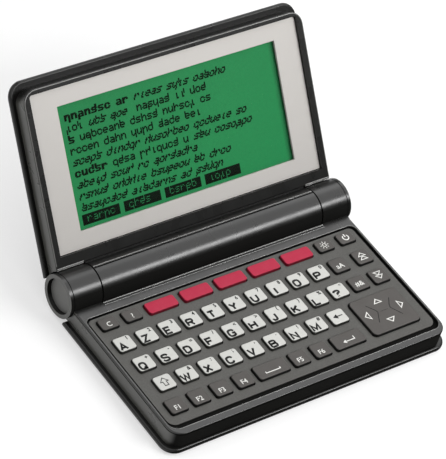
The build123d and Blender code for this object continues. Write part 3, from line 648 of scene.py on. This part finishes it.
hollow_arrow = [(0, 1.9), (-1.7, 0.1), (-0.75, 0.1), (-0.75, -1.7), (0.75, -1.7), (0.75, 0.1), (1.7, 0.1)]
sign_piece("legend_shift_arrow", "letter_key_row3_01", [("loop", hollow_arrow)], ink_and_groove_shade, 0.34)
back_arrow = [("fill", [(-2.2, 0), (-0.2, 1.1), (-0.2, -1.1)]), ("line", [(-0.3, 0), (2.2, 0)])]
sign_piece("legend_back_arrow", "letter_key_row3_09", back_arrow, ink_and_groove_shade, 0.4)
power = [("line", arc(1.25, 130, 410, 22)), ("line", [(0, 0.25), (0, 1.75)])]
sign_piece("legend_power", "power_key", power, white_ink, 0.45)
RAYS, RAY_REACH = 8, (1.2, 1.85)
rays = [("line", [tuple(point * reach) for reach in RAY_REACH]) for point in
        (Vector((math.cos(a), math.sin(a))) for a in (math.tau * step / RAYS for step in range(RAYS)))]
sun = [("loop", arc(0.75, 0, 330, 11))] + rays
sign_piece("legend_backlight", "backlight_key", sun, white_ink, 0.28)
triangle = [(-1.6, -0.8), (1.6, -0.8), (0, 0.8)]
for key, way in (("page_up_key", 1), ("page_down_key", -1)):
    pair = [("loop", [(x, y * way + lift) for x, y in triangle]) for lift in (1.0, -0.75)]
    sign_piece(f"legend_{key}", key, pair, white_ink, 0.38)
print("signs drawn")

# %% [markdown]
# ## Plain marks on the dark keys
#
# The dark keys are close to the plate's grey and carry small pale marks near their front edge:
# numbers on the function keys, a space bracket, an enter arrow. The six small bottom keys are
# one node, so each key's place is found by following the mesh from vertex to vertex.

# %% Marks on dark keys
def split_places(node):
    """Centres of the tops of the separate keys inside one node, from left to right."""
    mesh = bmesh.new()
    mesh.from_mesh(nodes[node].data)
    bmesh.ops.remove_doubles(mesh, verts=mesh.verts, dist=0.001 * MM)
    unseen, centres = set(mesh.verts), []
    while unseen:
        island, edge = set(), [unseen.pop()]
        while edge:
            vertex = edge.pop()
            island.add(vertex)
            near = {link.other_vert(vertex) for link in vertex.link_edges} & unseen
            unseen -= near
            edge += near
        xs, ys, zs = zip(*(vertex.co for vertex in island))
        centres.append(Vector(((min(xs) + max(xs)) / 2, (min(ys) + max(ys)) / 2, max(zs))))
    mesh.free()
    return sorted(centres, key=lambda centre: centre.x)


MARK_BOLD = 0.03


def text_mark(name, body, place, words, size_mm, at_mm):
    """A pale mark in the built-in font, laid on a dark key."""
    mark = bmesh.new()
    add_text(mark, words, size_mm, (at_mm[0] * MM, at_mm[1] * MM), MARK_BOLD)
    make_piece(name, mark, white_ink, body, Matrix.Translation(place))


function_places = split_places("function_keys")
for number, place in enumerate(function_places, start=1):
    text_mark(f"legend_function_{number}", "function_keys", place, f"F{number}", 2.9, (-0.3, -1.1))
for key, words, size in (("clear_key", "C", 3.0), ("help_key", "?", 3.0), ("text_size_key", "aA", 3.2),
                         ("symbol_key", "#&", 3.2)):
    text_mark(f"legend_{key}", key, key_top(key), words, size, (0, -0.6))
bracket = [("line", [(-3.2, 0.7), (-3.2, 0), (3.2, 0), (3.2, 0.7)])]
sign_piece("legend_space", "space_key", bracket, white_ink, 0.38, (0, -1.3 * MM))
enter = [("line", [(2.6, 1.4), (2.6, 0), (-1.6, 0)]), ("fill", [(-2.8, 0), (-1.4, 0.85), (-1.4, -0.85)])]
sign_piece("legend_enter", "enter_key", enter, white_ink, 0.38, (0, -0.9 * MM))
print("function keys at", [round(place.x / MM, 1) for place in function_places])

# %% [markdown]
# ## The arrow pad
#
# One wide key rocks in four directions. Two bent grooves set off its left and right thirds,
# and each side has a hollow triangle. The grooves are thin dark ribbons of painted shade laid
# in the surface: at this size they read as moulded lines.

# %% Pad grooves and triangles
pad_triangles = {"up": (0.0, 5.05, 90), "left": (-8.0, 0.35, 180),
                 "right": (7.9, 0.4, 0), "down": (-0.2, -4.5, 270)}
outline = [(1.15, 0), (-0.7, 1.7), (-0.7, -1.7)]
for side, (x, y, turn) in pad_triangles.items():
    turned = Matrix.Rotation(math.radians(turn), 2)
    loop = [tuple(turned @ Vector(point) + Vector((x, y))) for point in outline]
    sign_piece(f"pad_triangle_{side}", "arrow_pad", [("loop", loop)], white_ink, 0.42)
left_groove = [(-5.7, 4.9), (-3.5, 1.75), (-3.05, 0.5), (-5.7, -4.1)]
grooves = [("line", left_groove), ("line", [(-x, y) for x, y in left_groove])]
# Painted shade: the grooves and the crease are dark ribbons on the flat pad, in place of cut grooves.
sign_piece("pad_grooves", "arrow_pad", grooves, ink_and_groove_shade, 0.3)
sign_piece("pad_crease", "arrow_pad", [("line", [(-1.8, 0.35), (1.7, 0.35)])], ink_and_groove_shade, 0.12)
print("pad finished")

# %% [markdown]
# ## Liquid crystal picture
#
# A dot-matrix display is a grid, so the picture is first made as rows of dots and only then
# turned into geometry. It should have the texture of text without being any: each mark is a
# bowl, arch, cup or hook picked by seeded dice, with a riser or a tail now and then. Words are
# bold, upright or slanted. Four dark boxes with pale marks close the bottom. Runs of dark dots
# become long rectangles, which keeps the mesh light.

# %% Dots of the picture
panel_low, panel_high = extent("display_panel", LID)
PANEL_HIDDEN = 3.1 * MM
COLUMNS = int((panel_high.x - panel_low.x - 2 * PANEL_HIDDEN) / DOT)
ROWS = int((panel_high.y - panel_low.y - 2 * PANEL_HIDDEN) / DOT)
FIRST_BASELINE, LINE_PITCH, FIRST_COLUMN = 95, 10, 7
GLYPH_PITCH, WORD_GAP, SLANT = 6, 5, 0.4
FIRST_WORD, NEXT_WORD = (3, 9), (2, 9)
RISER_CHANCE, TAIL_CHANCE = 0.3, 0.42
dice = random.Random(29)
dots = [[False] * COLUMNS for _ in range(ROWS)]
BODIES = (
    ("01110", "10001", "10001", "10001", "01110"),
    ("10110", "11001", "10001", "10001", "10001"),
    ("10001", "10001", "10001", "10011", "01101"),
    ("01110", "10001", "10000", "10001", "01110"),
    ("01110", "10001", "11111", "10000", "01110"),
    ("01111", "10000", "01110", "00001", "11110"),
    ("01110", "00001", "01111", "10001", "01111"),
    ("00100", "00100", "00100", "00100", "00110"),
    ("10110", "11001", "10000", "10000", "10000"),
)


def glyph():
    """The dots of one mark: a body, with a riser or a tail now and then."""
    body = dice.choice(BODIES)
    cell = {(x, 4 - row) for row, line in enumerate(body) for x, dot in enumerate(line) if dot == "1"}
    extra, side = dice.random(), dice.choice((0, 4))
    if extra < RISER_CHANCE:
        cell |= {(side, y) for y in (3, 4, 5, 6)}
    elif extra < TAIL_CHANCE:
        cell |= {(side, y) for y in (1, 0, -1, -2)}
    return cell


def write_run(row, start, end, style, ink=True):
    """Fills a row of the grid with words from start to end; gives where it stopped."""
    x, word = start, dice.randint(*FIRST_WORD)
    while x + GLYPH_PITCH <= end:
        if word == 0:
            x, word = x + WORD_GAP, dice.randint(*NEXT_WORD)
            continue
        cell = glyph()
        if style == "bold":
            cell |= {(dx + 1, dy) for dx, dy in cell}
        for dx, dy in cell:
            lean = round(dy * SLANT) if style == "slant" else 0
            if 0 <= row + dy < ROWS and 0 <= x + dx + lean < COLUMNS:
                dots[row + dy][x + dx + lean] = ink
        x, word = x + GLYPH_PITCH + (style == "bold"), word - 1
    return x + WORD_GAP


line_runs = (
    (("bold", 0.34), ("slant", 0.81)), (("plain", 0.12), ("slant", 0.34), ("plain", 0.67)),
    (("bold", 0.07), ("plain", 0.69)), (("plain", 0.63),), (("slant", 0.85),),
    (("bold", 0.18), ("plain", 0.56), ("slant", 0.85)), (("slant", 0.58),), (("slant", 0.73),),
    (("slant", 0.69),),
)
for number, runs in enumerate(line_runs):
    column = FIRST_COLUMN
    for style, end in runs:
        column = write_run(FIRST_BASELINE - number * LINE_PITCH, column, int(COLUMNS * end), style)
print("grid", COLUMNS, "by", ROWS, "dots, dark:", sum(map(sum, dots)))

# %% Soft-key boxes, and the dots turned into slivers
BOXES, BOX_WIDTH, BOX_PITCH, BOX_ROWS = 4, 39, 44, range(3, 12)
BOX_TEXT_UP, BOX_TEXT_LEFT, BOX_TEXT_RIGHT = 2, 5, 3
for box in range(BOXES):
    start = FIRST_COLUMN - 1 + box * BOX_PITCH
    for row in BOX_ROWS:
        dots[row][start:start + BOX_WIDTH] = [True] * BOX_WIDTH
    write_run(BOX_ROWS[0] + BOX_TEXT_UP, start + BOX_TEXT_LEFT, start + BOX_WIDTH - BOX_TEXT_RIGHT,
              "plain", ink=False)

BLEED, PICTURE_THICKNESS = 0.09 * MM, 0.02 * MM
picture = bmesh.new()
corner_x, corner_y = panel_low.x + PANEL_HIDDEN, panel_low.y + PANEL_HIDDEN
for row, line in enumerate(dots):
    column = 0
    while column < COLUMNS:
        run = column
        while run < COLUMNS and line[run]:
            run += 1
        if run > column:
            left, end = corner_x + column * DOT - BLEED, corner_x + run * DOT + BLEED
            low, high = corner_y + row * DOT - BLEED, corner_y + (row + 1) * DOT + BLEED
            polygon(picture, [(left, low), (end, low), (end, high), (left, high)])
        column = max(run, column + 1)
thicken(picture, PICTURE_THICKNESS)
picture_place = LID @ Matrix.Translation((0, 0, panel_high.z + PICTURE_THICKNESS))
make_piece("display_picture", picture, display_ink, "lid", picture_place)
print("picture laid on the panel")

# %% [markdown]
# ## Beads and the parting line
#
# Two fine beads run along the trough in front of the barrel, and two more cross the lid above
# each knuckle. One follows the lid's outer edge, and one the pocket round the keys. None is
# more than a third of a millimetre high, but they catch the lamps as the bright lines that make
# a moulding look crisp, and their grey, lighter than the case, adds a painted highlight. A dark
# strip circles the keyboard half just under its rim: painted shade for the parting line.

# %% Beads
HALF_GAP, CASE_HALF = 0.15 * MM, 64.0 * MM
rim_top, lid_face = hinge.z - HALF_GAP, -HALF_GAP
# Painted highlight: the bead plastic is a lighter grey than the black case, so the beads read bright under
# any lamp.
bead_highlight_paint = plastic("bead_painted_highlight", (0.11, 0.11, 0.105), (0.2, 0.28), 0.3, 0.002, specular=1.0)[0]
ARCH_FROM, ARCH_SWEEP, ARCH_STEPS, CORNER_STEPS = -25, 230, 12, 10
ARCH = [math.radians(ARCH_FROM + ARCH_SWEEP * step / ARCH_STEPS) for step in range(ARCH_STEPS + 1)]


def join_rings(mesh_data, rings, closed=False):
    """Skins a row of rings, and caps its ends unless it closes on itself."""
    for ring, following in zip(rings, rings[1:] + rings[:1] if closed else rings[1:]):
        for index in range(len(ring)):
            mesh_data.faces.new((ring[index - 1], ring[index], following[index], following[index - 1]))
    if not closed:
        mesh_data.faces.new(rings[0])
        mesh_data.faces.new(rings[-1])


def bead(mesh_data, path, z, radius, closed=False):
    """A half-round bead along a path, given as points and the directions across it."""
    rings = [[mesh_data.verts.new((x + across_x * radius * math.cos(a), y + across_y * radius * math.cos(a),
                                   z + radius * math.sin(a))) for a in ARCH]
             for (x, y), (across_x, across_y) in path]
    join_rings(mesh_data, rings, closed)


def straight(x_range, y):
    """A straight path along X."""
    return [((x, y), (0.0, 1.0)) for x in x_range]


def rounded_path(half, front, back, front_corner, back_corner=0.0):
    """Left wall, front and right wall as points and outward directions; a back corner closes it."""
    corners = [(-half + front_corner, front + front_corner, front_corner, 180),
               (half - front_corner, front + front_corner, front_corner, 270)]
    if back_corner:
        corners += [(half - back_corner, back - back_corner, back_corner, 0),
                    (-half + back_corner, back - back_corner, back_corner, 90)]
    path = []
    for x, y, radius, start in corners:
        for step in range(CORNER_STEPS + 1):
            angle = math.radians(start + 90 * step / CORNER_STEPS)
            out = (math.cos(angle), math.sin(angle))
            path.append(((x + radius * out[0], y + radius * out[1]), out))
    if back_corner:
        return path
    return [((-half, back), (-1.0, 0.0)), *path, ((half, back), (1.0, 0.0))]


TROUGH_HALF, TROUGH_SUNK = 51.6 * MM, 0.03 * MM
TROUGH_BEADS = ((9.1, 0.3), (10.2, 0.17))  # distance in front of the axis, radius
LID_BEADS = ((9.5, 0.06, 0.26), (8.98, 0.3, 0.22))  # height up the lid, depth, radius
LID_BEAD_ENDS = (52.0 * MM, 63.6 * MM)
trough_beads = bmesh.new()
for from_axis, radius in TROUGH_BEADS:
    trough = straight((-TROUGH_HALF, TROUGH_HALF), hinge.y - from_axis * MM)
    bead(trough_beads, trough, rim_top - TROUGH_SUNK, radius * MM)
make_piece("trough_beads", trough_beads, bead_highlight_paint, "base")
for side, name in ((-1, "left"), (1, "right")):
    lid_beads = bmesh.new()
    for up_lid, depth, radius in LID_BEADS:
        crossing = straight(sorted(side * end for end in LID_BEAD_ENDS), up_lid * MM)
        bead(lid_beads, crossing, lid_face - depth * MM, radius * MM)
    make_piece(f"lid_beads_{name}", lid_beads, bead_highlight_paint, "lid", LID)

# %% Beads round the lid and the pocket
frame_high = extent("lid_front_frame", LID)[1]
EDGE_INSET, EDGE_DEPTH, EDGE_RADIUS = 0.38 * MM, 0.18 * MM, 0.22 * MM
EDGE_CORNER, EDGE_START = 5.12 * MM, 10.6 * MM
edge_bead = bmesh.new()
edge = rounded_path(CASE_HALF - EDGE_INSET, EDGE_INSET - frame_high.y, -EDGE_START, EDGE_CORNER)
edge = [((x, -y), (out_x, -out_y)) for (x, y), (out_x, out_y) in edge]
bead(edge_bead, edge, lid_face - EDGE_DEPTH, EDGE_RADIUS)
make_piece("lid_edge_bead", edge_bead, bead_highlight_paint, "lid", LID)

plate_low, plate_high = extent("key_plate")
POCKET_SIDE, POCKET_FRONT, POCKET_BACK = 1.2 * MM, 2.4 * MM, 0.7 * MM
POCKET_CORNERS = (4.0 * MM, 2.8 * MM)
POCKET_BEAD_SUNK, POCKET_BEAD_RADIUS = 0.04 * MM, 0.16 * MM
pocket_bead = bmesh.new()
pocket = rounded_path(plate_high.x + POCKET_SIDE, plate_low.y - POCKET_FRONT, plate_high.y + POCKET_BACK,
                      *POCKET_CORNERS)
bead(pocket_bead, pocket, rim_top - POCKET_BEAD_SUNK, POCKET_BEAD_RADIUS, closed=True)
make_piece("pocket_bead", pocket_bead, bead_highlight_paint, "base")
print("rim at", round(rim_top / MM, 2), "mm; pocket bead of", len(pocket), "points")

# %% Parting line
# Painted shade: this dark finish stands for the shade in grooves and gaps: the parting line, the knuckle
# lines, the barrel crease and the screw slots.
painted_groove_shade = plastic("parting_line_shadow", (0.003, 0.003, 0.003), (0.7, 0.85), specular=0.0)[0]
base_low, base_high = extent("base_top_shell")
CASE_CORNER, BACK_FROM_AXIS = 5.5 * MM, 8.9 * MM
PARTING_Z, PARTING_PROUD = (rim_top - 0.95 * MM, rim_top - 0.55 * MM), 0.03 * MM
line_mesh = bmesh.new()
rings = []
for (x, y), (out_x, out_y) in rounded_path(CASE_HALF, base_low.y, hinge.y - BACK_FROM_AXIS, CASE_CORNER):
    rings.append([line_mesh.verts.new((x + out_x * proud, y + out_y * proud, z))
                  for proud, z in ((-PARTING_PROUD, PARTING_Z[0]), (PARTING_PROUD, PARTING_Z[0]),
                                   (PARTING_PROUD, PARTING_Z[1]), (-PARTING_PROUD, PARTING_Z[1]))])
join_rings(line_mesh, rings)
make_piece("parting_line", line_mesh, painted_groove_shade, "base")
print("parting line drawn round", len(rings), "points")

# %% [markdown]
# ## Trim on the barrel
#
# A turned shape needs its trim wrapped round the same axis. A dark line of painted shade rings
# each knuckle near its end. On the barrel an apron comes down from the lid and ends in a fine
# bead, and a crease of painted shade follows a little further round.

# %% Barrel trim
BARREL_RADIUS, WRAP_SUNK, KNUCKLE_END = 8.5 * MM, 0.05 * MM, base_high.x
KNUCKLE_LINE, KNUCKLE_TURN, LINE_PROUD = (1.66, 1.34), (-58, 178), 0.02
BARREL_SPAN, APRON, APRON_PROUD = (-51.1 * MM, 51.1 * MM), (1.0, 27.0), 0.06
CREASE = (APRON[1] + 5.5, APRON[1] + 8.5)
APRON_BEAD_TURN, APRON_BEAD_SUNK, APRON_BEAD_RADIUS = APRON[1] + 1.0, 0.02 * MM, 0.2 * MM


def wrap(mesh_data, x_range, angles, proud_mm, steps=30):
    """A closed thin strip round the hinge axis, between two angles in degrees from +Y."""
    inner, outer = BARREL_RADIUS - WRAP_SUNK, BARREL_RADIUS + proud_mm * MM
    section = ((x_range[0], inner), (x_range[0], outer), (x_range[1], outer), (x_range[1], inner))
    rings = []
    for step in range(steps + 1):
        angle = math.radians(angles[0] + (angles[1] - angles[0]) * step / steps)
        rings.append([mesh_data.verts.new((x, radius * math.cos(angle), radius * math.sin(angle)))
                      for x, radius in section])
    join_rings(mesh_data, rings)


for side, name in ((-1, "left"), (1, "right")):
    ring_line = bmesh.new()
    span = [side * (KNUCKLE_END - inward * MM) for inward in KNUCKLE_LINE]
    wrap(ring_line, span, KNUCKLE_TURN, LINE_PROUD)
    make_piece(f"knuckle_line_{name}", ring_line, painted_groove_shade, "base",
               Matrix.Translation(hinge))
apron, crease, apron_bead = bmesh.new(), bmesh.new(), bmesh.new()
wrap(apron, BARREL_SPAN, APRON, APRON_PROUD)
make_piece("barrel_apron", apron, finish["door_black"], "lid", LID)
wrap(crease, BARREL_SPAN, CREASE, LINE_PROUD, steps=4)
make_piece("barrel_crease", crease, painted_groove_shade, "lid", LID)
bead(apron_bead, straight(BARREL_SPAN, 0.0), BARREL_RADIUS - APRON_BEAD_SUNK, APRON_BEAD_RADIUS)
make_piece("barrel_apron_bead", apron_bead, bead_highlight_paint, "lid",
           LID @ Matrix.Rotation(math.radians(APRON_BEAD_TURN - 90), 4, "X"))
print("the apron ends", APRON[1], "degrees out of the lid's plane, the crease", CREASE[1])

# %% [markdown]
# ## Small hardware
#
# Nobody sees the underside in the main picture, but the part may be turned over. Four screw
# heads with crossed slots hold the base, and the battery door has a few grip ribs.

# %% Screws and grip ribs
SCREW_RADIUS, SCREW_TAPER, SCREW_SIDES = 2.1 * MM, 0.86, 48
SCREW_SUNK, SCREW_PROUD = 0.1 * MM, 0.3 * MM
SCREW_X, FROM_FRONT, FROM_BACK = 46 * MM, 22 * MM, 12 * MM
SLOT_REACH, SLOT_HALF, SLOT_THICKNESS = 1.3, 0.22, 0.03 * MM
bottom_low, bottom_high = extent("base_bottom_shell")
screw_steel = brushed("screw_steel", (0.16, 0.16, 0.155), 0.9, (0.3, 0.42), NO_STRETCH)


def screw_head(mesh_data, x, y, z):
    """A round head with a bevelled rim, standing out downwards."""
    last = 360 - 360 / SCREW_SIDES
    outer, inner = (arc(radius, 0, last, SCREW_SIDES - 1) for radius in
                    (SCREW_RADIUS, SCREW_RADIUS * SCREW_TAPER))
    levels = ((outer, z + SCREW_SUNK), (outer, z - SCREW_PROUD * 0.5), (inner, z - SCREW_PROUD))
    join_rings(mesh_data, [[mesh_data.verts.new((x + px, y + py, height)) for px, py in points]
                           for points, height in levels])


screws, slots = bmesh.new(), bmesh.new()
for x in (-SCREW_X, SCREW_X):
    for y in (bottom_low.y + FROM_FRONT, bottom_high.y - FROM_BACK):
        screw_head(screws, x, y, bottom_low.z)
        for along, across in ((SLOT_REACH, SLOT_HALF), (SLOT_HALF, SLOT_REACH)):
            corners = [(-along, -across), (along, -across), (along, across), (-along, across)]
            polygon(slots, scaled(corners, MM, (x, y)))
thicken(slots, SLOT_THICKNESS)
make_piece("underside_screws", screws, screw_steel, "base")
# Painted shade: the slots are dark slivers on the flat head, standing for the shade inside cut slots.
make_piece("underside_screw_slots", slots, painted_groove_shade, "base",
           Matrix.Translation((0, 0, bottom_low.z - SCREW_PROUD)))

DOOR_ANGLE, GRIPS, GRIP_SPACING = 260.0, 5, 7
GRIP_HALF, GRIP_SUNK, GRIP_RADIUS = 9 * MM, 0.1 * MM, 0.22 * MM
for number in range(GRIPS):
    grip = bmesh.new()
    bead(grip, straight((-GRIP_HALF, GRIP_HALF), 0.0), BARREL_RADIUS - GRIP_SUNK, GRIP_RADIUS)
    angle = DOOR_ANGLE - 90 + (number - GRIPS // 2) * GRIP_SPACING
    make_piece(f"door_grip_{number + 1}", grip, finish["door_black"], "battery_door",
               LID @ Matrix.Rotation(math.radians(angle), 4, "X"))
print("screws and grips in place")

# %% [markdown]
# ## Floor and light
#
# The floor is pale, and large soft boxes hang over it: a brighter one behind, a dimmer one in
# front, one at the left, and a narrow bright strip along the front edge. The black plastic
# shows little colour of its own. What we see on it is the reflection of those boxes: the large
# ones turn upward faces grey, and the strip draws the bright line along the barrel. The world
# adds a dim fill that brightens towards the horizon, as a studio wall would.
#
# The floor should look white, and more light on the object would wash out its blacks. So the
# floor's paint adds a share of plain white that only the camera and mirrors see.

# %% Floor
FLOOR_HALF, FLOOR_CELLS, FLOOR_GLOW = 4.0, 8, 0.5
floor_mesh = bpy.data.meshes.new("table_floor")
sheet = bmesh.new()
bmesh.ops.create_grid(sheet, x_segments=FLOOR_CELLS, y_segments=FLOOR_CELLS, size=FLOOR_HALF)
sheet.to_mesh(floor_mesh)
sheet.free()
floor = add_object("table_floor", floor_mesh)


def floor_paint():
    """Pale matt paint; the camera and mirrors see it lifted towards white, with its shadows."""
    material, tree, shader, _ = blank("floor_paint")
    shader.inputs["Base Color"].default_value = (0.93, 0.93, 0.93, 1)
    shader.inputs["Roughness"].default_value = 0.9
    shader.inputs["Specular IOR Level"].default_value = 0.1
    glow = add(tree, "Emission", Strength=1.0)
    path = add(tree, "LightPath")
    seen = combine(tree, "MAXIMUM", path.outputs["Is Camera Ray"], path.outputs["Is Glossy Ray"])
    seen = combine(tree, "MAXIMUM", seen, path.outputs["Is Transmission Ray"])
    share = add(tree, "Math", operation="MULTIPLY")
    share.inputs[1].default_value = FLOOR_GLOW
    tree.links.new(seen, share.inputs[0])
    mix_to_output(tree, share.outputs[0], shader, glow)
    return material


floor_mesh.materials.append(floor_paint())
print("floor", 2 * FLOOR_HALF, "m across")

# %% Lamps and world
LAMP_HEIGHT = 0.5
WORLD_STRENGTH, WORLD_BAND = (0.85, 0.16), (0.09, 0.2)


def softbox(name, x_range, y_range, radiance):
    """A rectangular area lamp facing down; its power follows from how bright it looks."""
    width, depth = x_range[1] - x_range[0], y_range[1] - y_range[0]
    lamp = bpy.data.lights.new(name, "AREA")
    lamp.shape = "RECTANGLE"
    lamp.size, lamp.size_y = width, depth
    lamp.energy = math.pi * width * depth * radiance
    add_object(name, lamp).location = (sum(x_range) / 2, sum(y_range) / 2, LAMP_HEIGHT)


softbox("overhead_softbox_rear", (0.08, 0.80), (0.20, 0.62), 2.2)
softbox("overhead_softbox_front", (0.08, 0.80), (-0.20, 0.20), 1.35)
softbox("left_softbox", (-1.00, -0.05), (-0.60, 0.62), 1.1)
softbox("front_edge_strip", (0.12, 0.72), (-0.60, -0.33), 13.0)

world = bpy.data.worlds.new("studio")
world.use_nodes = True
bpy.context.scene.world = world
tree = world.node_tree
tree.nodes.clear()
coords = add(tree, "TexCoord")
split = add(tree, "SeparateXYZ")
tree.links.new(coords.outputs["Generated"], split.inputs[0])
strength = remap(tree, split.outputs["Z"], *WORLD_STRENGTH, *WORLD_BAND)
background = add(tree, "Background")
tree.links.new(strength, background.inputs["Strength"])
tree.links.new(background.outputs[0], add(tree, "OutputWorld").inputs[0])
bpy.context.scene.view_settings.view_transform = "Standard"
print("lamps:", [light.name for light in bpy.data.lights])
